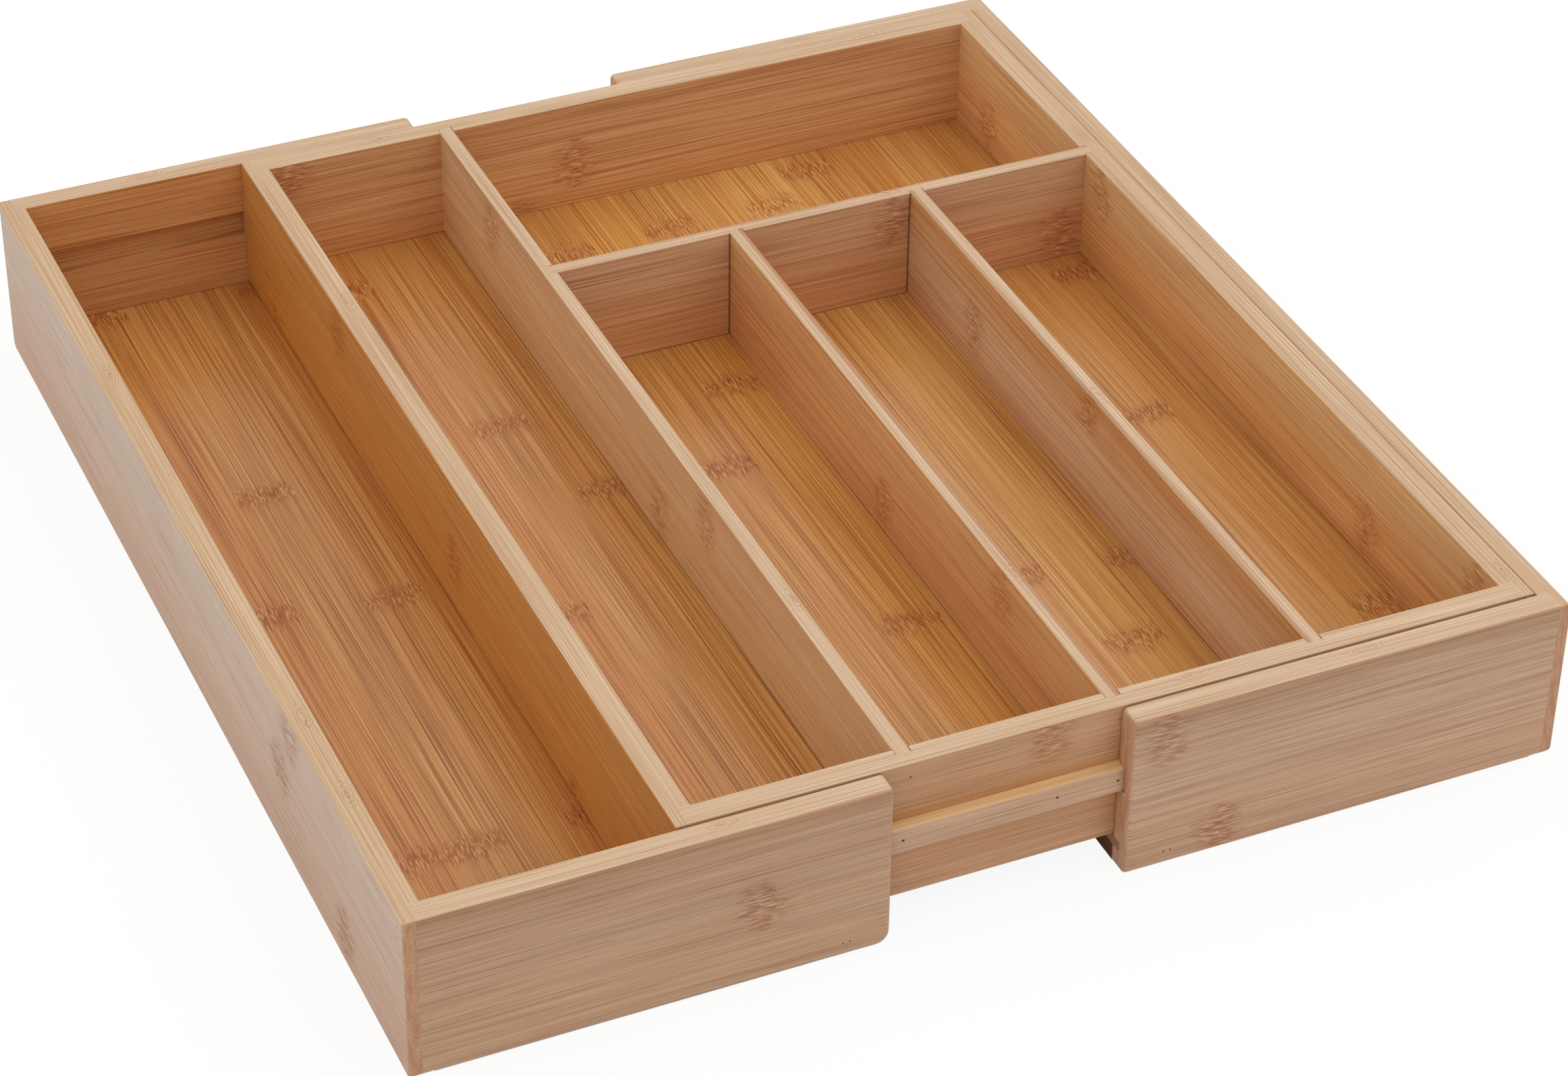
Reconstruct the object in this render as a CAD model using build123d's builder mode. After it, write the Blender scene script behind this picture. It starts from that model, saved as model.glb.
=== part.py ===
from build123d import *
import os

# An expanding cutlery tray in laminated bamboo. A divided tray hangs by two rails between two
# wings, and each wing pulls out sideways to open one more compartment beside the tray.
# The origin is on the table, under the middle of the tray as photographed: left wing pulled out,
# right wing pushed in. +X runs right along the front, +Y to the back and +Z up.

# Boards
wall_thickness = 8.7
divider_thickness = 5.5
base_thickness = 3.5

# Tray
tray_width = 311.4
tray_height = 53.4
tray_tongue = 4.0
tray_base_lift = 5.0
wide_compartment_depth = 105.5
compartment_count = 4
wall_dado_depth = 3.0
divider_dado_depth = 2.0

# Wings
wing_depth = 450.0
wing_height = 64.0
wing_tongue = 4.5
wing_base_lift = 6.9
wing_travel = 84.2
batten_width = 20.0

# Rails of the tray, and the grooves of the arms that run on them
rail_height = 10.0
rail_depth = 4.3
rail_lift = 21.1
arm_groove_depth = 5.0

# Grooves that hold the bases
base_groove_depth = 4.2

# Clearances
side_clearance = 0.5
under_clearance = 0.7
meeting_clearance = 0.6
rail_clearance = 0.25
groove_clearance = 0.2
dado_clearance = 0.12
nail_clearance = 0.05

# Roundings, sanded by hand, so the two wings differ
arris_round = 0.9
end_round = 2.0
back_corner_round = 3.0
front_foot_round = 2.5
back_foot_round = 8.0
left_top_round = 0.9
left_bottom_round = 0.9
left_arm_foot_round = 5.0
right_top_round = 2.5
right_bottom_round = 4.5
right_arm_foot_round = 1.0
tray_outer_round = 0.3
inner_round = 0.5
rail_round = 0.6

# Nails of square wire: brads in the rails, thin pins in the dividers, battens and corners
brad_width = 0.9
pin_width = 0.55
nail_point = 0.8
nail_taper_angle = 15
nail_sink = 0.8
rail_brad_length = 9.0
divider_pin_length = 14.0
batten_pin_length = 18.0
pin_length = 12.0
rail_brad_shares = (0.045, 0.247, 0.424, 0.495, 0.742, 0.955)
divider_pin_drop = 5.6
wing_pin_inset = 5.0
wing_pin_drops = (5.1, 9.0)
tray_pin_drops = (9.0, 40.0)
batten_pin_insets = (14.5, 17.0)
batten_pin_height = 5.6

# Widths and depths that follow
closed_width = tray_width + 2 * (wall_thickness + side_clearance)
rest_width = closed_width + wing_travel
arm_length = (closed_width - meeting_clearance) / 2
tray_depth = wing_depth - 2 * (wall_thickness + side_clearance)
divider_count = compartment_count - 1
compartment_width = (
    tray_width - 2 * wall_thickness - divider_count * divider_thickness
) / compartment_count
base_groove_height = base_thickness + groove_clearance
base_tongue = base_groove_depth - groove_clearance
dado_width = divider_thickness + dado_clearance

# Where each piece is drawn: tray pieces with the tray's left face on x = 0 and its lower edge on
# z = 0, wing pieces as a left wing with its outer face on x = 0 and the table on z = 0, and all
# with the middle of the depth on y = 0. Where each is put afterwards:
tray_lift = wing_base_lift + base_thickness + under_clearance
tray_left = -rest_width / 2 + wing_travel + wall_thickness + side_clearance
tray_place = (tray_left, 0, tray_lift)
tray_right_place = (tray_left + tray_width, 0, tray_lift)
left_wing_place = (-rest_width / 2, 0, 0)
right_wing_place = (rest_width / 2, 0, 0)

# Faces of the tray
tray_front = -tray_depth / 2
inner_front = tray_front + wall_thickness
inner_back = -inner_front
inner_right = tray_width - wall_thickness
tray_floor = tray_base_lift + base_thickness
cross_front = inner_back - wide_compartment_depth - divider_thickness
divider_lefts = [
    wall_thickness + compartment_width + n * (compartment_width + divider_thickness)
    for n in range(divider_count)
]
long_left = divider_lefts[0]
long_right = long_left + divider_thickness
rail_front = tray_front - rail_depth

# Faces of a wing
arm_front = -wing_depth / 2
arm_inner = arm_front + wall_thickness
arm_groove_lift = tray_lift + rail_lift - rail_clearance
arm_groove_height = rail_height + 2 * rail_clearance

LOW = (Align.MIN, Align.MIN)

# Nails by group: where they enter the surface, the way they are driven, and their size
rail_nails = {
    "heads": [(share * tray_width, rail_front, rail_lift + rail_height / 2) for share in rail_brad_shares],
    "into": (0, 1, 0),
    "width": brad_width,
    "length": rail_brad_length,
}
divider_nail_height = tray_height - divider_pin_drop
front_divider_nails = {
    "heads": [(left + divider_thickness / 2, tray_front, divider_nail_height) for left in divider_lefts],
    "into": (0, 1, 0),
    "width": pin_width,
    "length": divider_pin_length,
}
back_divider_nails = {
    "heads": [(long_left + divider_thickness / 2, -tray_front, divider_nail_height)],
    "into": (0, -1, 0),
    "width": pin_width,
    "length": divider_pin_length,
}
right_divider_nails = {
    "heads": [(tray_width, cross_front + divider_thickness / 2, divider_nail_height)],
    "into": (-1, 0, 0),
    "width": pin_width,
    "length": divider_pin_length,
}
left_corner_pins = {
    "heads": [
        (0, side * (tray_front + wall_thickness / 2), tray_height - drop)
        for side in (-1, 1)
        for drop in tray_pin_drops
    ],
    "into": (1, 0, 0),
    "width": pin_width,
    "length": pin_length,
}
right_corner_pins = dict(
    left_corner_pins,
    heads=[(tray_width, y, z) for x, y, z in left_corner_pins["heads"]],
    into=(-1, 0, 0),
)
wing_corner_pins = {
    "heads": [
        (0, side * (arm_front + wing_pin_inset), wing_height - drop)
        for side in (-1, 1)
        for drop in wing_pin_drops
    ],
    "into": (1, 0, 0),
    "width": pin_width,
    "length": pin_length,
}
front_batten_nails = {
    "heads": [(arm_length - inset, arm_front, batten_pin_height) for inset in batten_pin_insets],
    "into": (0, 1, 0),
    "width": pin_width,
    "length": batten_pin_length,
}
back_batten_nails = dict(
    front_batten_nails,
    heads=[(x, -y, z) for x, y, z in front_batten_nails["heads"]],
    into=(0, -1, 0),
)

os.makedirs("parts", exist_ok=True)


def save(piece, name, place, turned_about=()):
    """Mirrors a piece about the planes given, puts it in its place, labels it and writes it."""
    solid = piece.part
    for plane in turned_about:
        solid = mirror(solid, about=plane)
    solid = solid.moved(Location(place))
    solid.label = name
    export_step(solid, f"parts/{name}.step")


def nails(*groups):
    """The nails of some groups: headless, pointed and sunk a little below the surface."""
    with BuildPart() as driven:
        for group in groups:
            shank = group["length"] - nail_point
            for head in group["heads"]:
                surface = Plane(origin=head, z_dir=group["into"])
                with BuildSketch(surface.offset(nail_sink)):
                    Rectangle(group["width"], group["width"])
                extrude(amount=shank)
                with BuildSketch(surface.offset(nail_sink + shank)):
                    Rectangle(group["width"], group["width"])
                extrude(amount=nail_point, taper=nail_taper_angle)
    return driven


def nail_holes(*groups):
    """The holes of some groups of nails, cut from the piece that is being built."""
    for group in groups:
        hole_width = group["width"] + 2 * nail_clearance
        for head in group["heads"]:
            with BuildSketch(Plane(origin=head, z_dir=group["into"])) as hole:
                Rectangle(hole_width, hole_width)
            depth = nail_sink + group["length"] + nail_clearance
            extrude(hole.sketch, amount=depth, mode=Mode.SUBTRACT)


def long_top_edges(piece, run, across):
    """The long edges of a board's top, in order across it."""
    return piece.faces().sort_by(Axis.Z)[-1].edges().filter_by(run).sort_by(across)


def square_laps(inner, height, *spans):
    """Makes a board's inner top edge square again over the spans that lie in the corner joints."""
    for start, end in spans:
        with BuildSketch(Plane.YZ.offset(start)) as corner:
            with Locations((inner - inner_round, height - inner_round)):
                Rectangle(inner_round, inner_round, align=LOW)
        extrude(corner.sketch, amount=end - start)


def tray_side_wall(cross_dado=False):
    """Left wall of the tray, rabbeted for the front and back walls, or the right wall turned over."""
    with BuildPart() as wall:
        with BuildSketch(Plane.XZ):
            Rectangle(wall_thickness, tray_height, align=LOW)
            with Locations((wall_thickness - base_groove_depth, tray_base_lift)):
                Rectangle(base_groove_depth, base_groove_height, align=LOW, mode=Mode.SUBTRACT)
        extrude(amount=tray_depth / 2, both=True)
        fillet(long_top_edges(wall, Axis.Y, Axis.X)[0], radius=tray_outer_round)
        fillet(long_top_edges(wall, Axis.Y, Axis.X)[-1], radius=inner_round)
        with BuildSketch():
            with Locations((tray_tongue, tray_front), (tray_tongue, inner_back)):
                Rectangle(wall_thickness, wall_thickness, align=LOW)
        extrude(amount=tray_height, mode=Mode.SUBTRACT)
        nail_holes(left_corner_pins)
        if cross_dado:
            with BuildSketch(Plane.XY.offset(tray_floor)):
                with Locations((wall_thickness - wall_dado_depth, cross_front - dado_clearance)):
                    Rectangle(wall_dado_depth, dado_width, align=LOW)
            extrude(amount=tray_height, mode=Mode.SUBTRACT)
            heads = [(0, y, z) for x, y, z in right_divider_nails["heads"]]
            nail_holes(dict(right_divider_nails, heads=heads, into=(1, 0, 0)))
    return wall


def tray_end_wall(dividers):
    """Front wall of the tray with dadoes for some dividers, or the back wall turned over."""
    with BuildPart() as wall:
        with BuildSketch(Plane.YZ.offset(tray_tongue)):
            with Locations((tray_front, 0)):
                Rectangle(wall_thickness, tray_height, align=LOW)
            with Locations((inner_front - base_groove_depth, tray_base_lift)):
                Rectangle(base_groove_depth, base_groove_height, align=LOW, mode=Mode.SUBTRACT)
        extrude(amount=tray_width - 2 * tray_tongue)
        fillet(long_top_edges(wall, Axis.X, Axis.Y)[0], radius=tray_outer_round)
        fillet(long_top_edges(wall, Axis.X, Axis.Y)[-1], radius=inner_round)
        left_lap = (tray_tongue, wall_thickness)
        right_lap = (inner_right, tray_width - tray_tongue)
        square_laps(inner_front, tray_height, left_lap, right_lap)
        with BuildSketch(Plane.XY.offset(tray_floor)):
            for left in divider_lefts[:dividers]:
                with Locations((left, inner_front - wall_dado_depth)):
                    Rectangle(dado_width, wall_dado_depth, align=LOW)
        extrude(amount=tray_height, mode=Mode.SUBTRACT)
        heads = front_divider_nails["heads"][:dividers]
        nail_holes(rail_nails, dict(front_divider_nails, heads=heads))
        nail_holes(left_corner_pins, right_corner_pins)
    return wall


def tray_floor_board():
    """Base of the tray, let into the grooves of its four walls."""
    edge = wall_thickness - base_tongue
    with BuildPart() as board:
        with BuildSketch(Plane.XY.offset(tray_base_lift)):
            with Locations((tray_width / 2, 0)):
                Rectangle(tray_width - 2 * edge, tray_depth - 2 * edge)
        extrude(amount=base_thickness)
    return board


def front_to_back_divider(left, front, back):
    """Divider that runs front to back, standing on the tray's base."""
    with BuildPart() as board:
        with BuildSketch(Plane.XY.offset(tray_floor)):
            with Locations((left, front)):
                Rectangle(divider_thickness, back - front, align=LOW)
        extrude(amount=tray_height - tray_floor)
        fillet(long_top_edges(board, Axis.Y, Axis.X), radius=inner_round)
        nail_holes(front_divider_nails)
    return board


def long_divider():
    """Divider over the whole depth, with a dado for the cross divider."""
    whole = front_to_back_divider(long_left, inner_front - wall_dado_depth, inner_back + wall_dado_depth)
    with BuildPart() as board:
        add(whole.part)
        with BuildSketch(Plane.XY.offset(tray_floor)):
            with Locations((long_right - divider_dado_depth, cross_front - dado_clearance)):
                Rectangle(divider_dado_depth, dado_width, align=LOW)
        extrude(amount=tray_height, mode=Mode.SUBTRACT)
        nail_holes(back_divider_nails)
    return board


def cross_divider():
    """Divider from the long divider to the right wall, with dadoes for the short dividers."""
    start = long_right - divider_dado_depth
    with BuildPart() as board:
        with BuildSketch(Plane.XY.offset(tray_floor)):
            with Locations((start, cross_front)):
                Rectangle(inner_right + wall_dado_depth - start, divider_thickness, align=LOW)
        extrude(amount=tray_height - tray_floor)
        fillet(long_top_edges(board, Axis.X, Axis.Y), radius=inner_round)
        with BuildSketch(Plane.XY.offset(tray_floor)):
            for left in divider_lefts[1:]:
                with Locations((left, cross_front)):
                    Rectangle(dado_width, divider_dado_depth, align=LOW)
        extrude(amount=tray_height, mode=Mode.SUBTRACT)
        nail_holes(right_divider_nails)
    return board


def rail():
    """Square strip along the outside of the front wall, which the arms' grooves run on."""
    with BuildPart() as strip:
        with BuildSketch(Plane.YZ) as section:
            with Locations((rail_front, rail_lift)):
                Rectangle(rail_depth, rail_height, align=LOW)
            fillet(section.vertices().group_by(Axis.X)[0], radius=rail_round)
        extrude(amount=tray_width)
        nail_holes(rail_nails)
    return strip


def wing_side_wall(top_round, bottom_round):
    """Outer wall of a left wing, rabbeted for the ends of its arms and grooved for its base."""
    with BuildPart() as wall:
        with BuildSketch(Plane.XZ) as section:
            Rectangle(wall_thickness, wing_height, align=LOW)
            fillet(section.vertices().group_by(Axis.X)[0].sort_by(Axis.Y)[0], radius=bottom_round)
            fillet(section.vertices().group_by(Axis.Y)[-1].sort_by(Axis.X)[0], radius=top_round)
            fillet(section.vertices().group_by(Axis.Y)[-1].sort_by(Axis.X)[-1], radius=inner_round)
            with Locations((wall_thickness - base_groove_depth, wing_base_lift)):
                Rectangle(base_groove_depth, base_groove_height, align=LOW, mode=Mode.SUBTRACT)
        extrude(amount=wing_depth / 2, both=True)
        with BuildSketch(Plane.YZ) as side:
            Rectangle(wing_depth, wing_height, align=(Align.CENTER, Align.MIN))
            fillet(side.vertices().group_by(Axis.Y)[-1], radius=arris_round)
            fillet(side.vertices().group_by(Axis.Y)[0].sort_by(Axis.X)[0], radius=front_foot_round)
            fillet(side.vertices().group_by(Axis.Y)[0].sort_by(Axis.X)[-1], radius=back_foot_round)
        extrude(amount=wall_thickness, mode=Mode.INTERSECT)
        with BuildSketch() as plan:
            Rectangle(wall_thickness, wing_depth, align=(Align.MIN, Align.CENTER))
            fillet(plan.vertices().group_by(Axis.X)[0].sort_by(Axis.Y)[0], radius=arris_round)
            fillet(plan.vertices().group_by(Axis.Y)[-1].sort_by(Axis.X)[0], radius=back_corner_round)
        extrude(amount=wing_height, mode=Mode.INTERSECT)
        with BuildSketch():
            with Locations((wing_tongue, arm_front), (wing_tongue, -arm_inner)):
                Rectangle(wall_thickness, wall_thickness, align=LOW)
        extrude(amount=wing_height, mode=Mode.SUBTRACT)
        nail_holes(wing_corner_pins)
    return wall


def wing_arm(foot_round, lap_foot_round):
    """Front arm of a left wing, grooved for the rail and the base, rounded at its free end."""
    with BuildPart() as arm:
        with BuildSketch(Plane.XZ.offset(-arm_inner)) as side:
            with Locations((wing_tongue, 0)):
                Rectangle(arm_length - wing_tongue, wing_height, align=LOW)
            foot = side.vertices().group_by(Axis.X)[-1].sort_by(Axis.Y)[0]
            fillet(foot, radius=foot_round)
        extrude(amount=wall_thickness)
        fillet(long_top_edges(arm, Axis.X, Axis.Y)[0], radius=arris_round)
        front = arm.faces().sort_by(Axis.Y)[0].edges()
        fillet(front.sort_by(Axis.X)[-1], radius=end_round)
        fillet(long_top_edges(arm, Axis.X, Axis.Y)[-1], radius=inner_round)
        square_laps(arm_inner, wing_height, (wing_tongue, wall_thickness))
        with BuildSketch(Plane.YZ.offset(wing_tongue)):
            with Locations((arm_front, 0)):
                Rectangle(lap_foot_round, lap_foot_round, align=LOW)
            with Locations((arm_front + lap_foot_round, lap_foot_round)):
                Circle(lap_foot_round, mode=Mode.SUBTRACT)
        extrude(amount=wall_thickness - wing_tongue, mode=Mode.SUBTRACT)
        with BuildSketch(Plane.YZ.offset(wing_tongue)):
            with Locations((arm_inner - arm_groove_depth, arm_groove_lift)):
                Rectangle(arm_groove_depth, arm_groove_height, align=LOW)
            with Locations((arm_inner - base_groove_depth, wing_base_lift)):
                Rectangle(base_groove_depth, base_groove_height, align=LOW)
        extrude(amount=arm_length, mode=Mode.SUBTRACT)
        nail_holes(wing_corner_pins, front_batten_nails)
    return arm


def wing_floor_board():
    """Base of a left wing, let into its side wall and arms; it slides under the tray."""
    edge = wall_thickness - base_tongue
    with BuildPart() as board:
        with BuildSketch(Plane.XY.offset(wing_base_lift)):
            with Locations((edge, 0)):
                Rectangle(arm_length - edge, wing_depth - 2 * edge, align=(Align.MIN, Align.CENTER))
        extrude(amount=base_thickness)
    return board


def wing_batten():
    """Strip under the free edge of a left wing's base, between the arms."""
    with BuildPart() as strip:
        with BuildSketch():
            with Locations((arm_length - batten_width, 0)):
                Rectangle(batten_width, -2 * arm_inner, align=(Align.MIN, Align.CENTER))
        extrude(amount=wing_base_lift)
        fillet(strip.faces().sort_by(Axis.Z)[0].edges().filter_by(Axis.Y), radius=inner_round)
        nail_holes(front_batten_nails, back_batten_nails)
    return strip


# The tray
to_right = (Plane.YZ,)
to_back = (Plane.XZ,)
save(tray_side_wall(), "tray_left_wall", tray_place)
save(tray_side_wall(cross_dado=True), "tray_right_wall", tray_right_place, to_right)
save(tray_end_wall(divider_count), "tray_front_wall", tray_place)
save(tray_end_wall(1), "tray_back_wall", tray_place, to_back)
save(tray_floor_board(), "tray_base", tray_place)
save(long_divider(), "long_divider", tray_place)
save(cross_divider(), "cross_divider", tray_place)
short_names = ["short_divider_left", "short_divider_right"]
for short_name, short_left in zip(short_names, divider_lefts[1:]):
    short = front_to_back_divider(
        short_left, inner_front - wall_dado_depth, cross_front + divider_dado_depth
    )
    save(short, short_name, tray_place)
save(rail(), "front_rail", tray_place)
save(rail(), "back_rail", tray_place, to_back)
save(nails(rail_nails), "front_rail_brads", tray_place)
save(nails(rail_nails), "back_rail_brads", tray_place, to_back)
divider_groups = (front_divider_nails, back_divider_nails, right_divider_nails)
save(nails(*divider_groups), "divider_brads", tray_place)
save(nails(left_corner_pins, right_corner_pins), "tray_corner_pins", tray_place)

# The wings
for wing, wing_place, turned, top_round, bottom_round, foot_round in (
    ("left_wing", left_wing_place, (), left_top_round, left_bottom_round, left_arm_foot_round),
    ("right_wing", right_wing_place, to_right, right_top_round, right_bottom_round, right_arm_foot_round),
):
    save(wing_side_wall(top_round, bottom_round), f"{wing}_side_wall", wing_place, turned)
    save(wing_arm(foot_round, front_foot_round), f"{wing}_front_arm", wing_place, turned)
    save(wing_arm(foot_round, back_foot_round), f"{wing}_back_arm", wing_place, turned + to_back)
    save(wing_floor_board(), f"{wing}_base", wing_place, turned)
    save(wing_batten(), f"{wing}_batten", wing_place, turned)
    save(nails(wing_corner_pins), f"{wing}_corner_pins", wing_place, turned)
    save(nails(front_batten_nails, back_batten_nails), f"{wing}_batten_brads", wing_place, turned)
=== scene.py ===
import math
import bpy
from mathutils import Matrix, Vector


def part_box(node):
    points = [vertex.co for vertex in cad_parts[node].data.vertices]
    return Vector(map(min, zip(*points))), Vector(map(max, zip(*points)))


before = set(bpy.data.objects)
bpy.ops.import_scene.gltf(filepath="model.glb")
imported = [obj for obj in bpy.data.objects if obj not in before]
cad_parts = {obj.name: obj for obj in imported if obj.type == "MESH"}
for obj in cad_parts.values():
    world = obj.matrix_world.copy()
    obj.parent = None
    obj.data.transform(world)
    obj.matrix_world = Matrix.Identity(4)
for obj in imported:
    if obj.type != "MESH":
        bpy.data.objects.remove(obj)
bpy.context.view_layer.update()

from types import SimpleNamespace

import bpy
from mathutils import Matrix, Vector

# An expanding cutlery tray in laminated bamboo, on a white studio floor.
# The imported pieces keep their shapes, and this script gives them their materials. Each board has its
# own bamboo, drawn from its grain, its slats and the places of the joints ("nodes") of the cane. The
# brads and pins are dull steel, but those that hold the battens look like wood filler.
# Sizes and places are in millimetres of the shared frame, as on a drawing. A step is where a smooth
# change starts and ends.

MM = 0.001
AXES = {"x": 0, "y": 1, "z": 2}

# Camera, worked out from the tray's corners in the photograph
CAMERA_PLACE = (-509.5, -1166.6, 925.7)
CAMERA_AIM = (15.9, -8.6, 0.0)
CAMERA_ROLL = 0.86
FOCAL_PIXELS = 6397.0
IMAGE_WIDTH = 2324
SENSOR_WIDTH = 36.0
NEAREST_SEEN = 50
FARTHEST_SEEN = 50000

# Light. As from large softboxes, most light falls from above and the upper right, and some comes
# level from the left. The steps are parts of a direction along one axis, from -1 to 1.
SKY_LIGHT = 0.33
HIGH_LIGHT = 0.62
FRONT_LIGHT = 0.10
LEFT_LOW_LIGHT = 0.60
LEFT_HIGH_LIGHT = 0.20
RIGHT_HIGH_LIGHT = 1.15
HIGH_STEP = (0.35, 0.75)
FRONT_STEP = (-0.7, 0.0)
LEFT_STEP = (-0.8, 0.0)
RIGHT_STEP = (0.0, 0.8)
LOW_TO_HIGH_STEP = (0.3, 0.65)
SKY_COLOR = (1.0, 0.985, 0.965, 1)
WHITE = (1, 1, 1, 1)

# Floor
FLOOR_COLOR = (0.7, 0.7, 0.7, 1)
FLOOR_ROUGHNESS = 0.9
FLOOR_SIZE = 12000
FLOOR_SINK = 0.05
SHADOW_SHARE = 0.09

# Slats and nodes. The table of nodes holds three places for each slat, as the parts of a colour, so
# they are stored as shares of the reach to either side of the middle.
SLAT_WIDTH = 22.3
SLAT_SHIFT = (900.0, 90.0, 90.0)
NODES_IN_TABLE = 3
NODE_REACH = 300.0
NO_NODE = -NODE_REACH
NODE_STEP = (2.0, 12.0)
FIRST_SEED = 3
SEED_STEP = 7

# Fibres of the wide faces. A scale is how often a noise changes in a millimetre along the fibres,
# across the face and through the board, or how many times as often as the palette's streaks.
WAVER_SCALE = (0.010, 0.04, 0.04)
WAVER_BEND = 1.4
KNOT_SCALE = (0.17, 0.5, 0.5)
KNOT_BEND = 1.6
BROAD_SCALE = (0.004, 0.11, 0.1)
BUNDLE_ALONG = 0.7
BUNDLE_ACROSS = 0.22
BUNDLE_THROUGH = 0.2
STREAK_THROUGH = 0.3
STREAK_DETAIL = 1.5
THREAD_ALONG = 1.6
THREAD_ACROSS = 1.3
THREAD_THROUGH = 0.8
THREAD_STEP = (0.58, 0.66)
THREAD_ROUGHNESS = 0.06
BLUSH_STEP = (0.42, 0.72)
BLUSH_SHARE = 0.8

# The band at a node. Its jag, core and end are shares of the reach that the palette gives.
JAG_SCALE = (0.05, 0.55, 0.3)
JAG_SHARE = 2.2
BAND_CORE = 0.3
BAND_END = 1.2
BAND_ROUGHNESS = 0.10
PALE_STROKE_STEP = (0.46, 0.38)
DARK_STROKE_STEP = (0.55, 0.62)
ZONE_SHARE = 0.12

# Places on a board: how squarely a surface faces an axis, how deep an edge's grain reaches, how far
# below its top an arm darkens, how far beyond its middle the inner side starts, and the painted shadow
# in its joints
FACING_STEP = (0.5, 0.85)
EDGE_DEPTH = 2.4
ARM_TOP_STEP = (-7.0, -2.5)
GROOVE = 3.0
INNER_BLUR = 0.2
JOINT_SHADOW_STEP = (0.12, 0.45)
JOINT_SHADOW_SHARE = 0.7

# Long edges: fine lines, two plies, and an eye with rings where a node is cut
LINE_SCALE = (0.010, 2.2, 1.0)
LINE_CONTRAST = 2.8
LINE_BEND = 1.6
PLY_BLUR = 0.1
PLY_CONTRAST = 0.04
EYE_LENGTH = 7.0
EYE_WIDTH = 2.2
EYE_OFF_MIDDLE = 1.0
EYE_STEP = (0.3, 1.5)
EYE_BEND = 3.0
EYE_SHARE = 0.25
RING_RATE = 15.0
RING_CONTRAST = 0.3

# Ends: fibres cut across
DOT_SCALE = (2.6, 2.6, 1.0)
DOT_STEP = (0.50, 0.62)
DOT_SHARE = 0.75
PATCH_SCALE = (0.12, 0.6, 1.0)
PATCH_STEP = (0.3, 0.7)
END_ROUGHNESS = 0.18

# Relief of the fibres, its depth in metres, and how much the finer parts count in soft and rough noise
RELIEF_SCALE = (0.03, 1.5, 1.5)
RELIEF_STRENGTH = 0.25
RELIEF_DEPTH = 0.0001
SOFT_NOISE = 0.6
ROUGH_NOISE = 0.65

# Nails, with specks that change so many times in a metre
SPECK_SCALE = (2500.0, 2500.0, 2500.0)
SPECK_DETAIL = 3.0
SPECK_COLOR_STEP = (0.35, 0.7)
SPECK_ROUGHNESS_STEP = (0.3, 0.7)
NAIL_SMOOTHEST = 0.4
NAIL_ROUGHEST = 0.6


class Graph:
    """Short ways to add shader nodes to one node tree."""

    # The colour sockets of a Mix node
    MIX_A, MIX_B, MIX_RESULT = 6, 7, 2

    def __init__(self, tree):
        self.tree = tree

    def add(self, kind, settings=None, **inputs):
        """Adds a node. Settings are its properties, inputs are sockets by name."""
        node = self.tree.nodes.new("ShaderNode" + kind)
        for name, value in (settings or {}).items():
            setattr(node, name, value)
        for name, value in inputs.items():
            self.feed(node.inputs[name.replace("_", " ")], value)
        return node

    def feed(self, socket, value):
        """Links a socket to another, or sets it to a constant."""
        if isinstance(value, bpy.types.NodeSocket):
            self.tree.links.new(value, socket)
        else:
            socket.default_value = value

    def math(self, operation, *values):
        node = self.add("Math", {"operation": operation})
        for socket, value in zip(node.inputs, values):
            self.feed(socket, value)
        return node.outputs[0]

    def product(self, *values):
        result = values[0]
        for value in values[1:]:
            result = self.math("MULTIPLY", result, value)
        return result

    def total(self, *values):
        result = values[0]
        for value in values[1:]:
            result = self.math("ADD", result, value)
        return result

    def spread(self, value, weight):
        """How far a value from 0 to 1 is from its middle, times a weight."""
        return self.math("MULTIPLY_ADD", value, weight, -0.5 * weight)

    def ramp(self, value, low, high, to_low=0.0, to_high=1.0):
        """A smooth step from to_low, where value is low, to to_high, where it is high."""
        node = self.add(
            "MapRange", {"interpolation_type": "SMOOTHSTEP"},
            Value=value, From_Min=low, From_Max=high, To_Min=to_low, To_Max=to_high,
        )
        return node.outputs["Result"]

    def nearest(self, value, places):
        """How far a value is from the nearest of some places."""
        gaps = [self.math("ABSOLUTE", self.math("SUBTRACT", value, place)) for place in places]
        result = gaps[0]
        for gap in gaps[1:]:
            result = self.math("MINIMUM", result, gap)
        return result

    def vectors(self, operation, a, b):
        """Adds or multiplies two vectors, part by part."""
        node = self.add("VectorMath", {"operation": operation})
        self.feed(node.inputs[0], a)
        self.feed(node.inputs[1], b)
        return node.outputs[0]

    def noise(self, point, scale, detail=1.0, roughness=0.5):
        """Noise from 0 to 1 at a point that is stretched by scale along each axis."""
        stretched = self.vectors("MULTIPLY", point, scale)
        node = self.add("TexNoise", Vector=stretched, Scale=1.0, Detail=detail, Roughness=roughness)
        return node.outputs["Fac"]

    def vector(self, x, y, z=0.0):
        return self.add("CombineXYZ", X=x, Y=y, Z=z).outputs[0]

    def mix(self, share, a, b, blend="MIX"):
        """Mixes two colours."""
        node = self.add("Mix", {"data_type": "RGBA", "blend_type": blend}, Factor=share)
        self.feed(node.inputs[self.MIX_A], a)
        self.feed(node.inputs[self.MIX_B], b)
        return node.outputs[self.MIX_RESULT]

    def shades(self, level, dark, middle, pale):
        """A colour from dark at level 0, over middle at a half, to pale at 1."""
        node = self.add("ValToRGB", Fac=level)
        elements = node.color_ramp.elements
        elements[0].color = dark
        elements[1].color = pale
        elements.new(0.5).color = middle
        return node.outputs["Color"]


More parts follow.
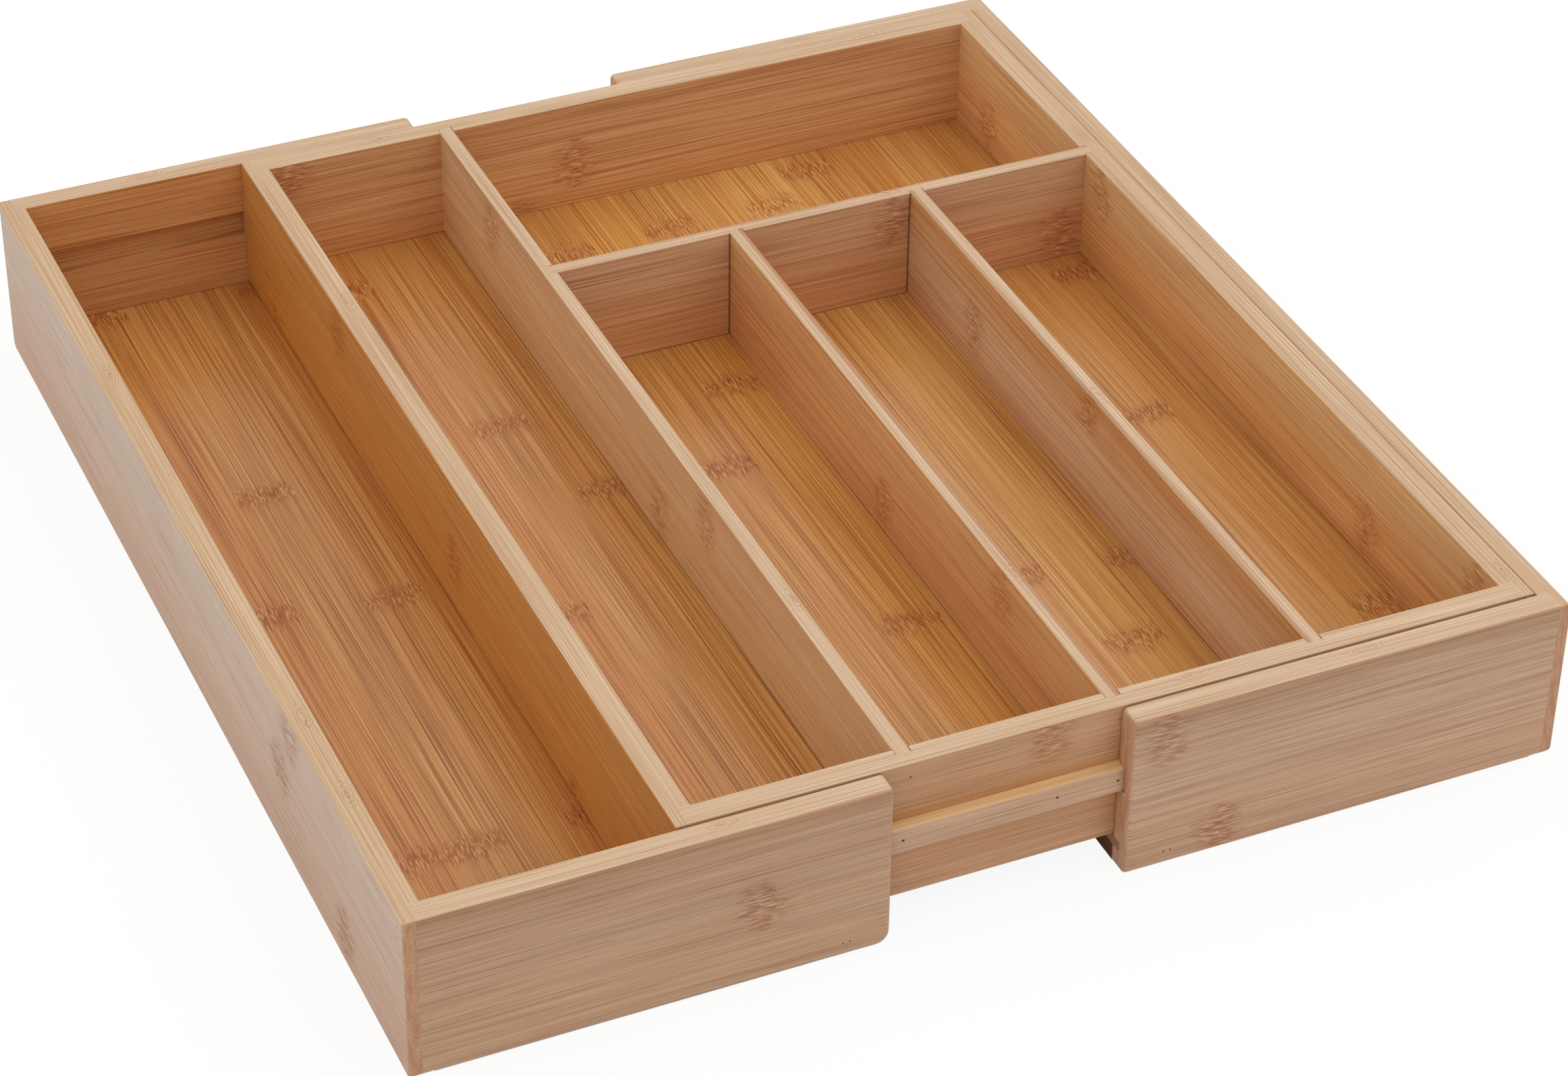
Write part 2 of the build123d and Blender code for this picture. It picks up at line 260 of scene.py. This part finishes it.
def color(red, green, blue):
    """A colour given as it looks on a screen, 0 to 255, as linear light."""
    def linear(value):
        share = value / 255
        return share / 12.92 if share <= 0.04045 else ((share + 0.055) / 1.055) ** 2.4

    return (linear(red), linear(green), linear(blue), 1.0)


def new_material(name):
    """An empty material, its graph and its main shader."""
    material = bpy.data.materials.new(name)
    material.use_nodes = True
    material.node_tree.nodes.clear()
    graph = Graph(material.node_tree)
    return material, graph, graph.add("BsdfPrincipled")


def dress(node, material):
    """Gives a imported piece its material."""
    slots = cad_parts[node].data.materials
    slots.clear()
    slots.append(material)


def slat_tables(graph, row, slats, soft):
    """Looks up, for the slat that a point lies in, its nodes' places along it, its tone and tint.

    Tints pass softly from one slat to the next where soft is true.
    """
    slat = graph.math("ADD", graph.math("FLOOR", row), 0.5)
    places = graph.add("ValToRGB", Fac=graph.product(slat, 1 / len(slats)))
    tints = graph.add("ValToRGB", Fac=graph.product(row if soft else slat, 1 / len(slats)))
    places.color_ramp.interpolation = "CONSTANT"
    tints.color_ramp.interpolation = "LINEAR" if soft else "CONSTANT"
    for table in (places.color_ramp, tints.color_ramp):
        table.elements.remove(table.elements[-1])
    for index, (tint, tone, *marks) in enumerate(slats):
        marks = (marks + [NO_NODE] * NODES_IN_TABLE)[:NODES_IN_TABLE]
        entries = (
            (places, 0.0, [(mark + NODE_REACH) / (2 * NODE_REACH) for mark in marks] + [tone]),
            (tints, 0.5 if soft else 0.0, [*tint, 1.0]),
        )
        for node, start, values in entries:
            elements = node.color_ramp.elements
            position = (index + start) / len(slats)
            element = elements[0] if index == 0 else elements.new(position)
            element.position = position
            element.color = values
    marks = graph.add("SeparateColor", Color=places.outputs["Color"])
    nodes_along = [graph.spread(out, 2 * NODE_REACH) for out in marks.outputs]
    return nodes_along, places.outputs["Alpha"], tints.outputs["Color"]


def board_place(graph, node, grain, across, first, slats, eyes, soft, seed):
    """Where a point lies in a board, in millimetres, and what its slat is like there.

    u runs along the fibres, v across the wide face and w through the board.
    """
    through = ({"x", "y", "z"} - {grain, across}).pop()
    coordinates = graph.add("TexCoord")
    place = graph.add(
        "VectorMath", {"operation": "SCALE"}, Vector=coordinates.outputs["Object"], Scale=1 / MM
    )
    axes = graph.add("SeparateXYZ", Vector=place.outputs[0])
    normal = graph.add("SeparateXYZ", Vector=coordinates.outputs["Normal"])
    at = SimpleNamespace(seed=float(seed))
    at.u, at.v, at.w = (axes.outputs[AXES[axis]] for axis in (grain, across, through))
    low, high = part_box(node)
    at.v_low, at.v_high = (corner[AXES[across]] / MM for corner in (low, high))
    at.ply = (low[AXES[through]] + high[AXES[through]]) / 2 / MM
    at.edge = graph.ramp(graph.math("ABSOLUTE", normal.outputs[AXES[across]]), *FACING_STEP)
    at.end = graph.ramp(graph.math("ABSOLUTE", normal.outputs[AXES[grain]]), *FACING_STEP)

    row = graph.math("DIVIDE", graph.math("SUBTRACT", at.v, first), SLAT_WIDTH)
    slat = graph.math("FLOOR", row)
    off_middle = graph.spread(graph.math("FRACT", row), 2.0)
    at.lens = graph.product(off_middle, off_middle)
    at.nodes_along, at.tone, at.tint = slat_tables(graph, row, slats, soft)
    chance = graph.add("TexWhiteNoise", {"noise_dimensions": "1D"}, W=graph.math("ADD", slat, at.seed))
    shift = graph.vectors("MULTIPLY", chance.outputs["Color"], SLAT_SHIFT)
    at.own = graph.vectors("ADD", graph.vector(at.u, at.v, at.w), shift)
    at.eye_gap = graph.nearest(at.u, eyes)

    # Fibres waver a little everywhere, and more near a node of the cane
    at.zone = graph.ramp(graph.nearest(at.u, at.nodes_along), *NODE_STEP, 1.0, 0.0)
    at.waver = graph.noise(at.own, WAVER_SCALE)
    at.knot = graph.noise(at.own, KNOT_SCALE)
    knot_bend = graph.product(graph.spread(at.knot, KNOT_BEND), at.zone)
    bend = graph.total(graph.spread(at.waver, WAVER_BEND), knot_bend)
    at.fibre = graph.vectors("ADD", at.own, graph.vector(0.0, bend))
    return at


def fibres(graph, at, palette):
    """Colour of a wide face's fibres, and where its dark threads are."""
    along, across = palette["streak_scale"]
    broad = graph.noise(at.fibre, BROAD_SCALE)
    bundles = graph.noise(at.fibre, (BUNDLE_ALONG * along, BUNDLE_ACROSS * across, BUNDLE_THROUGH))
    streaks = graph.noise(at.fibre, (along, across, STREAK_THROUGH), STREAK_DETAIL, SOFT_NOISE)
    threads = graph.noise(at.fibre, (THREAD_ALONG * along, THREAD_ACROSS * across, THREAD_THROUGH))
    threads = graph.ramp(threads, *THREAD_STEP)
    level = graph.total(
        0.5,
        graph.spread(broad, palette["broad"]),
        graph.spread(bundles, palette["bundle"]),
        graph.spread(streaks, palette["streak"]),
        graph.spread(at.tone, 1.0),
    )
    face = graph.shades(level, palette["dark"], palette["face"], palette["pale"])
    face = graph.mix(graph.product(threads, palette["thread_share"]), face, palette["thread"])
    face = graph.mix(graph.ramp(broad, *BLUSH_STEP, 0.0, BLUSH_SHARE), face, BLUSH, "MULTIPLY")
    return face, threads


def node_bands(graph, at, palette, face):
    """Adds the band at each node, ragged from fibre to fibre, with pale and dark strokes in it.

    Returns the colour and where the band is.
    """
    reach = palette["band"]
    jag = graph.noise(at.own, JAG_SCALE, 2.0, ROUGH_NOISE)
    place = graph.total(at.u, graph.spread(jag, JAG_SHARE * reach))
    ragged = graph.total(graph.nearest(place, at.nodes_along), graph.product(at.lens, palette["lens"]))
    band = graph.ramp(ragged, BAND_CORE * reach, BAND_END * reach, 1.0, 0.0)
    strokes = graph.noise(at.own, palette["stroke_scale"], 1.0, SOFT_NOISE)
    pale_strokes = graph.product(graph.ramp(strokes, *PALE_STROKE_STEP), band)
    dark_strokes = graph.product(graph.ramp(strokes, *DARK_STROKE_STEP), band)
    face = graph.mix(graph.product(at.zone, ZONE_SHARE), face, palette["node"])
    face = graph.mix(graph.product(band, palette["band_share"]), face, palette["node"])
    face = graph.mix(graph.product(dark_strokes, palette["stroke_share"]), face, palette["thread"])
    face = graph.mix(graph.product(pale_strokes, palette["stroke_share"]), face, palette["pale"])
    return face, band


def wide_face(graph, at, palette, inner):
    """Colour of a board's wide faces, with what differs from place to place on them."""
    face, threads = fibres(graph, at, palette)
    face, band = node_bands(graph, at, palette, face)
    at.rough = graph.total(graph.product(threads, THREAD_ROUGHNESS), graph.product(band, BAND_ROUGHNESS))
    face = graph.mix(1.0, face, at.tint, "MULTIPLY")

    if "top_tint" in palette:
        start, end = (at.v_high + gap for gap in ARM_TOP_STEP)
        face = graph.mix(graph.ramp(at.v, start, end), face, palette["top_tint"], "MULTIPLY")
    if inner:
        side, tint = inner
        high = side == "high"
        limit = at.ply - GROOVE if high else at.ply + GROOVE
        levels = (0.0, 1.0) if high else (1.0, 0.0)
        share = graph.ramp(at.w, limit - INNER_BLUR, limit + INNER_BLUR, *levels)
        face = graph.mix(share, face, (*tint, 1.0), "MULTIPLY")
    # A thin dark line at each joint and along the foot is a painted shadow of the joint's gap
    if "joints" in palette:
        foot_gap = graph.math("SUBTRACT", at.v, at.v_low)
        joint_gap = graph.math("MINIMUM", foot_gap, graph.nearest(at.u, palette["joints"]))
        joint_shadow = graph.ramp(joint_gap, *JOINT_SHADOW_STEP, JOINT_SHADOW_SHARE, 0.0)
        face = graph.mix(joint_shadow, face, palette["joint_shadow"])
    return face


def long_edge(graph, at, palette):
    """Colour of a board's long edges: two plies of fine pale lines, and eyes where a node is cut."""
    wide = graph.product(at.eye_gap, 1 / EYE_LENGTH)
    deep = graph.product(graph.math("SUBTRACT", at.w, at.ply + EYE_OFF_MIDDLE), 1 / EYE_WIDTH)
    eye = graph.math("SQRT", graph.total(graph.product(wide, wide), graph.product(deep, deep)))
    near_eye = graph.ramp(eye, *EYE_STEP, 1.0, 0.0)
    eye_bend = graph.product(graph.spread(at.knot, EYE_BEND), near_eye)
    drawn = graph.total(at.w, graph.spread(at.waver, LINE_BEND), eye_bend)
    lines = graph.noise(graph.vector(at.u, drawn, at.seed), LINE_SCALE, 2.0, ROUGH_NOISE)
    rings = graph.math("SINE", graph.product(graph.math("ADD", eye, at.knot), RING_RATE))
    level = graph.total(
        0.5,
        graph.spread(lines, LINE_CONTRAST),
        graph.ramp(at.w, at.ply - PLY_BLUR, at.ply + PLY_BLUR, -PLY_CONTRAST, PLY_CONTRAST),
        graph.product(rings, near_eye, RING_CONTRAST),
    )
    edge = graph.shades(level, palette["edge_dark"], palette["edge"], palette["edge_pale"])
    if "ply" in palette:
        low, high = palette["ply"]
        above_low = graph.ramp(at.w, low - PLY_BLUR, low + PLY_BLUR)
        below_high = graph.ramp(at.w, high - PLY_BLUR, high + PLY_BLUR, 1.0, 0.0)
        edge = graph.mix(graph.product(above_low, below_high), edge, palette["ply_tint"], "MULTIPLY")
    return graph.mix(graph.product(near_eye, EYE_SHARE), edge, palette["edge_dark"])


def end_grain(graph, at, palette):
    """Colour of a board's ends: the fibres cut across, as fine dark dots."""
    point = graph.vector(at.v, at.w, at.seed)
    dots = graph.ramp(graph.noise(point, DOT_SCALE), *DOT_STEP)
    patches = graph.ramp(graph.noise(point, PATCH_SCALE), *PATCH_STEP)
    end = graph.mix(patches, palette["end_dark"], palette["end"])
    return graph.mix(graph.product(dots, DOT_SHARE), end, palette["thread"])


def bamboo(node, grain, across, first, slats, palette, seed, eyes=(NO_NODE,), inner=None):
    """Laminated bamboo for one board.

    grain and across are the axes along the fibres and across the wide face. slats lists each slat
    from the lowest side, from first on: its tint, its tone, then the places of its nodes along the
    grain. eyes are the places of the nodes that show on the board's edges. inner is the side of the
    board that looks into the tray and a tint that is added there.
    """
    material, graph, shader = new_material(node)
    at = board_place(graph, node, grain, across, first, slats, eyes, palette["soft"], seed)
    face = wide_face(graph, at, palette, inner)
    edge = long_edge(graph, at, palette)
    near_edge = graph.math(
        "MAXIMUM",
        graph.math("GREATER_THAN", at.v, at.v_high - EDGE_DEPTH),
        graph.math("LESS_THAN", at.v, at.v_low + EDGE_DEPTH),
    )
    whole = graph.mix(graph.product(at.edge, near_edge), face, edge)
    whole = graph.mix(at.end, whole, end_grain(graph, at, palette))
    graph.feed(shader.inputs["Base Color"], whole)

    # Lacquer, thin enough for the fibres to show as relief
    sawn = graph.product(at.edge, palette["sawn"])
    rough = graph.total(palette["roughness"], at.rough, graph.product(at.end, END_ROUGHNESS), sawn)
    graph.feed(shader.inputs["Roughness"], rough)
    shader.inputs["Specular IOR Level"].default_value = palette["shine"]
    relief = graph.noise(graph.vector(at.u, at.v, at.w), RELIEF_SCALE, 2.0, SOFT_NOISE)
    bump = graph.add("Bump", Strength=RELIEF_STRENGTH, Distance=RELIEF_DEPTH, Height=relief)
    graph.feed(shader.inputs["Normal"], bump.outputs[0])
    graph.add("OutputMaterial", Surface=shader.outputs[0])
    return material


def nail(name, dark, pale, metallic):
    """A nail's head: its two shades, and how much of it is bare metal."""
    material, graph, shader = new_material(name)
    specks = graph.noise(graph.add("TexCoord").outputs["Object"], SPECK_SCALE, SPECK_DETAIL)
    graph.feed(shader.inputs["Base Color"], graph.mix(graph.ramp(specks, *SPECK_COLOR_STEP), dark, pale))
    rough = graph.ramp(specks, *SPECK_ROUGHNESS_STEP, NAIL_SMOOTHEST, NAIL_ROUGHEST)
    graph.feed(shader.inputs["Roughness"], rough)
    shader.inputs["Metallic"].default_value = metallic
    graph.add("OutputMaterial", Surface=shader.outputs[0])
    return material


# Colours of the boards
WALL = {
    "face": color(196, 156, 123), "pale": color(212, 176, 144), "dark": color(166, 116, 84),
    "thread": color(160, 98, 66), "thread_share": 0.55, "node": color(166, 106, 68),
    "edge": color(203, 171, 137), "edge_pale": color(220, 194, 163), "edge_dark": color(180, 138, 101),
    "end": color(206, 162, 124), "end_dark": color(188, 140, 106), "roughness": 0.40,
    "streak_scale": (0.014, 2.8), "broad": 0.35, "bundle": 0.35, "streak": 1.7, "soft": True,
    "band": 9.5, "lens": 6.0, "band_share": 0.42, "stroke_scale": (0.20, 1.8, 0.6), "stroke_share": 0.9,
    # The joint colour is a painted shadow in the gaps of the dividers' joints
    "shine": 0.5, "sawn": 0.0, "joint_shadow": color(78, 26, 8),
}
INNER = dict(WALL, broad=0.3, bundle=0.3, streak=2.8, thread_share=0.45, streak_scale=(0.014, 3.4))
SUNNY_EDGES = {
    "edge": color(200, 166, 130), "edge_pale": color(217, 189, 155), "edge_dark": color(176, 132, 94),
}
SUNNY_WALL = dict(WALL, **SUNNY_EDGES)
SUNNY_INNER = dict(INNER, **SUNNY_EDGES)
ARM = dict(WALL, top_tint=(0.88, 0.79, 0.69, 1.0))
# The floor boards' edges are painted a darker tan as shade, for a wing base's free edge lies in the
# shadow under the tray
FLOOR = dict(
    WALL, face=color(200, 141, 72), pale=color(220, 170, 104), dark=color(150, 86, 32),
    thread=color(146, 78, 28), thread_share=0.28, node=color(168, 96, 44), roughness=0.30,
    edge=color(150, 104, 70), edge_pale=color(166, 118, 82), edge_dark=color(132, 88, 58), sawn=0.45,
    streak_scale=(0.010, 3.6), broad=0.4, bundle=0.15, streak=3.1, soft=False,
    band=7.5, lens=2.0, band_share=0.5, stroke_scale=(0.26, 1.9, 0.6), stroke_share=0.8,
)
RAIL = dict(
    WALL, face=color(205, 169, 137), edge=color(226, 184, 132), edge_pale=color(234, 198, 148),
    edge_dark=color(206, 158, 106),
)
# The battens' edges are painted dark brown as shade, for they lie in the shadow under the tray
STRIP_WITH_PAINTED_SHADE = dict(
    WALL, edge=color(104, 66, 42), edge_pale=color(122, 80, 54), edge_dark=color(84, 50, 32),
    shine=0.1, sawn=0.45,
)

# Tints, as factors on a board's colours
PLAIN = (1.0, 1.0, 1.0)
ROSY = (1.0, 0.94, 0.90)
SAND = (1.02, 0.98, 0.82)
BRIGHT = (1.06, 1.11, 1.06)
DEEP = (0.94, 0.80, 0.66)
GOLD = (1.06, 0.90, 0.60)
AMBER = (1.17, 1.01, 0.65)
BLUSH = (1.0, 0.94, 0.90, 1.0)

# Slats of the tray's floor from left to right, and of the left wing's
TRAY_FLOOR_SLATS = [
    (PLAIN, 0.5, 60), (ROSY, 0.45, 180, -45), (PLAIN, 0.5, 72), (PLAIN, 0.45, 20), (ROSY, 0.5, -150),
    (PLAIN, 0.5, 172, 15), (SAND, 0.56, 64, -95), (PLAIN, 0.5, 175), (PLAIN, 0.55, -88),
    (BRIGHT, 0.6, 175, -135), (PLAIN, 0.5, 195, -90), (ROSY, 0.45), (PLAIN, 0.58, -14),
    (PLAIN, 0.5, 83, -150), (PLAIN, 0.5),
]
WING_FLOOR_SLATS = [
    (PLAIN, 0.5), (ROSY, 0.45, 5, -139, 212), (PLAIN, 0.48, 76, -139), (PLAIN, 0.5, -1),
    (DEEP, 0.45, -138, 210), (PLAIN, 0.5, 30), (PLAIN, 0.55, 150, -90), (PLAIN, 0.5, 60),
]

# Boards. The slats' own tints were set beside the photograph, one for each real slat, and on the
# inner walls they also stand in for the shading there.
ALONG_Y = {"grain": "y", "across": "z"}
ALONG_X = {"grain": "x", "across": "z"}
LYING = {"grain": "y", "across": "x"}
BOARDS = {
    "left_wing_side_wall": dict(
        ALONG_Y, first=2.0, eyes=(95, -118, -160), palette=SUNNY_WALL, inner=("high", GOLD),
        # The bluish grey tints of the upper slats are a painted sheen
        slats=[
            ((0.95, 0.90, 0.79), 0.5, -167), ((0.96, 1.04, 1.09), 0.5, -105),
            ((0.96, 1.12, 1.27), 0.5, -118),
        ],
    ),
    "right_wing_side_wall": dict(
        ALONG_Y, first=0.0, eyes=(140,), palette=SUNNY_WALL, inner=("low", GOLD),
        slats=[(PLAIN, 0.5, 60), (ROSY, 0.55, -30), (PLAIN, 0.5)],
    ),
    "left_wing_front_arm": dict(
        ALONG_X, first=-2.3, eyes=(-99,), palette=ARM, inner=("high", GOLD),
        slats=[
            ((0.99, 1.0, 0.97), 0.52), ((0.93, 0.95, 0.96), 0.52, -88), ((0.91, 0.92, 0.93), 0.48),
        ],
    ),
    "right_wing_front_arm": dict(
        ALONG_X, first=-2.3, eyes=(130,), palette=ARM, inner=("high", GOLD),
        slats=[
            ((1.03, 1.03, 1.03), 0.52, 77), ((1.05, 1.11, 1.17), 0.5), ((0.98, 1.04, 1.10), 0.48, 55),
        ],
    ),
    "left_wing_back_arm": dict(
        ALONG_X, first=-2.3, eyes=(-150,), palette=INNER, inner=("low", AMBER),
        slats=[(PLAIN, 0.5, -70), (PLAIN, 0.5), (ROSY, 0.5)],
    ),
    "right_wing_back_arm": dict(
        ALONG_X, first=-2.3, eyes=(122,), palette=INNER, inner=("low", AMBER),
        slats=[(PLAIN, 0.5), (PLAIN, 0.5, 80), (PLAIN, 0.5)],
    ),
    "tray_left_wall": dict(
        ALONG_Y, first=-2.3, eyes=(108,), palette=SUNNY_INNER,
        slats=[
            ((1.30, 1.04, 0.37), 0.5, -130, 182), ((1.21, 0.93, 0.34), 0.5, -15),
            ((1.11, 0.87, 0.39), 0.5, 105),
        ],
    ),
    "tray_right_wall": dict(
        ALONG_Y, first=-1.6, eyes=(-201, 110), palette=SUNNY_INNER,
        slats=[
            (GOLD, 0.5), ((1.38, 1.26, 0.80), 0.5, -125, 179), ((1.24, 1.29, 1.0), 0.55, -195, 82),
        ],
    ),
    "tray_front_wall": dict(
        ALONG_X, first=4.4, eyes=(72,), palette=WALL, inner=("high", SAND),
        slats=[
            ((1.0, 0.90, 0.78), 0.5), ((0.94, 0.79, 0.54), 0.5, 100), ((0.95, 0.91, 0.79), 0.5, 17),
        ],
    ),
    "tray_back_wall": dict(
        ALONG_X, first=4.4, eyes=(-60, 150), palette=INNER, inner=("low", SAND),
        slats=[
            ((1.20, 1.01, 0.71), 0.5, -3), ((1.19, 1.15, 1.02), 0.55, 20),
            ((1.09, 1.03, 0.95), 0.5, -97),
        ],
    ),
    "long_divider": dict(
        ALONG_Y, first=19.2, eyes=(-122,), palette=dict(INNER, joints=(-207.0,)),
        slats=[((1.38, 1.55, 1.36), 0.5, -15), ((1.26, 1.40, 1.29), 0.55, -56, 152), (SAND, 0.5)],
    ),
    "cross_divider": dict(
        ALONG_X, first=19.7, eyes=(106,),
        palette=dict(INNER, joints=(39.1, 113.9), ply=(100.0, 105.0), ply_tint=(0.93, 0.84, 0.80, 1.0)),
        slats=[((1.18, 1.05, 0.83), 0.5, 180), ((1.09, 1.08, 1.04), 0.55, 107)],
    ),
    "short_divider_left": dict(
        ALONG_Y, first=19.7, eyes=(-137,),
        palette=dict(INNER, joints=(96.0,), ply=(42.9, 50.0), ply_tint=(0.78, 0.58, 0.45, 1.0)),
        slats=[((1.28, 1.12, 0.79), 0.45, -42), ((1.19, 1.10, 0.79), 0.5, -135)],
    ),
    "short_divider_right": dict(
        ALONG_Y, first=4.4, eyes=(-53,),
        palette=dict(INNER, joints=(96.0,), ply=(110.0, 115.9), ply_tint=(0.80, 0.69, 0.61, 1.0)),
        slats=[
            ((1.25, 1.22, 1.10), 0.5), ((1.26, 1.48, 1.58), 0.52, 39), ((1.07, 0.93, 0.61), 0.5, -52),
        ],
    ),
    "tray_base": dict(LYING, first=-119.3, slats=TRAY_FLOOR_SLATS, palette=FLOOR),
    "left_wing_base": dict(LYING, first=-209.3, slats=WING_FLOOR_SLATS, palette=FLOOR),
    "right_wing_base": dict(LYING, first=20.0, slats=WING_FLOOR_SLATS[::-1], palette=FLOOR),
    "front_rail": dict(ALONG_X, first=22.0, slats=[(PLAIN, 0.5, 140)], palette=RAIL),
    "back_rail": dict(ALONG_X, first=22.0, slats=[(PLAIN, 0.5, -60)], palette=RAIL),
    "left_wing_batten": dict(
        LYING, first=-70.0, slats=[(PLAIN, 0.5, 90), (PLAIN, 0.5, -90)], palette=STRIP_WITH_PAINTED_SHADE,
    ),
    "right_wing_batten": dict(
        LYING, first=40.0, slats=[(PLAIN, 0.5, -70), (PLAIN, 0.5, 110)], palette=STRIP_WITH_PAINTED_SHADE,
    ),
}

for number, (board, details) in enumerate(BOARDS.items()):
    dress(board, bamboo(board, seed=FIRST_SEED + SEED_STEP * number, **details))

dull_steel = nail("dull_steel", color(46, 34, 26), color(92, 74, 60), 0.4)
filler = nail("wood_filler", color(150, 100, 68), color(176, 128, 94), 0.0)
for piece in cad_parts:
    if piece not in BOARDS:
        dress(piece, filler if piece.endswith("batten_brads") else dull_steel)


def studio_floor():
    """A white floor. The camera sees it white, with a share of the object's soft shadow."""
    half = FLOOR_SIZE / 2 * MM
    mesh = bpy.data.meshes.new("studio_floor")
    corners = [(-half, -half), (half, -half), (half, half), (-half, half)]
    mesh.from_pydata([(x, y, -FLOOR_SINK * MM) for x, y in corners], [], [(0, 1, 2, 3)])
    plane = bpy.data.objects.new("studio_floor", mesh)
    bpy.context.collection.objects.link(plane)
    material, graph, shader = new_material("studio_floor")
    shader.inputs["Roughness"].default_value = FLOOR_ROUGHNESS
    shader.inputs["Specular IOR Level"].default_value = 0.0
    glow = graph.add("Emission", Color=WHITE, Strength=1.0)
    path = graph.add("LightPath")
    seen = graph.math("MAXIMUM", path.outputs["Is Camera Ray"], path.outputs["Is Glossy Ray"])
    seen = graph.math("MAXIMUM", seen, path.outputs["Is Transmission Ray"])
    graph.feed(shader.inputs["Base Color"], graph.mix(seen, FLOOR_COLOR, WHITE))
    blend = graph.add("MixShader", Fac=graph.product(seen, 1 - SHADOW_SHARE))
    graph.feed(blend.inputs[1], shader.outputs[0])
    graph.feed(blend.inputs[2], glow.outputs[0])
    graph.add("OutputMaterial", Surface=blend.outputs[0])
    plane.data.materials.append(material)


def sky():
    """Soft white studio light from all round: plain white to the camera, softer as light."""
    world = bpy.data.worlds.new("studio")
    world.use_nodes = True
    bpy.context.scene.world = world
    graph = Graph(world.node_tree)
    background = world.node_tree.nodes["Background"]
    toward = graph.add("SeparateXYZ", Vector=graph.add("TexCoord").outputs["Generated"])
    toward_x, toward_y, toward_z = toward.outputs
    high = graph.ramp(toward_z, *HIGH_STEP, 0.0, HIGH_LIGHT)
    front = graph.ramp(toward_y, *FRONT_STEP, FRONT_LIGHT, 0.0)
    left = graph.ramp(toward_x, *LEFT_STEP, 1.0, 0.0)
    left = graph.product(left, graph.ramp(toward_z, *LOW_TO_HIGH_STEP, LEFT_LOW_LIGHT, LEFT_HIGH_LIGHT))
    right = graph.ramp(toward_x, *RIGHT_STEP)
    right = graph.product(right, graph.ramp(toward_z, *LOW_TO_HIGH_STEP, 0.0, RIGHT_HIGH_LIGHT))
    light = graph.total(SKY_LIGHT, high, front, left, right)
    seen = graph.add("LightPath").outputs["Is Camera Ray"]
    graph.feed(background.inputs["Color"], graph.mix(seen, SKY_COLOR, WHITE))
    strength = graph.total(light, graph.product(seen, graph.math("SUBTRACT", 1.0, light)))
    graph.feed(background.inputs["Strength"], strength)


def camera():
    """The photograph's own view of the tray."""
    lens = bpy.data.cameras.new("camera")
    lens.sensor_fit = "HORIZONTAL"
    lens.sensor_width = SENSOR_WIDTH
    lens.lens = FOCAL_PIXELS / IMAGE_WIDTH * SENSOR_WIDTH
    lens.clip_start = NEAREST_SEEN * MM
    lens.clip_end = FARTHEST_SEEN * MM
    holder = bpy.data.objects.new("camera", lens)
    bpy.context.collection.objects.link(holder)
    place, aim = Vector(CAMERA_PLACE) * MM, Vector(CAMERA_AIM) * MM
    turn = (aim - place).to_track_quat("-Z", "Y").to_matrix().to_4x4()
    turn.translation = place
    holder.matrix_world = turn @ Matrix.Rotation(math.radians(CAMERA_ROLL), 4, "Z")
    bpy.context.scene.camera = holder


studio_floor()
sky()
camera()
bpy.context.scene.view_settings.view_transform = "Standard"
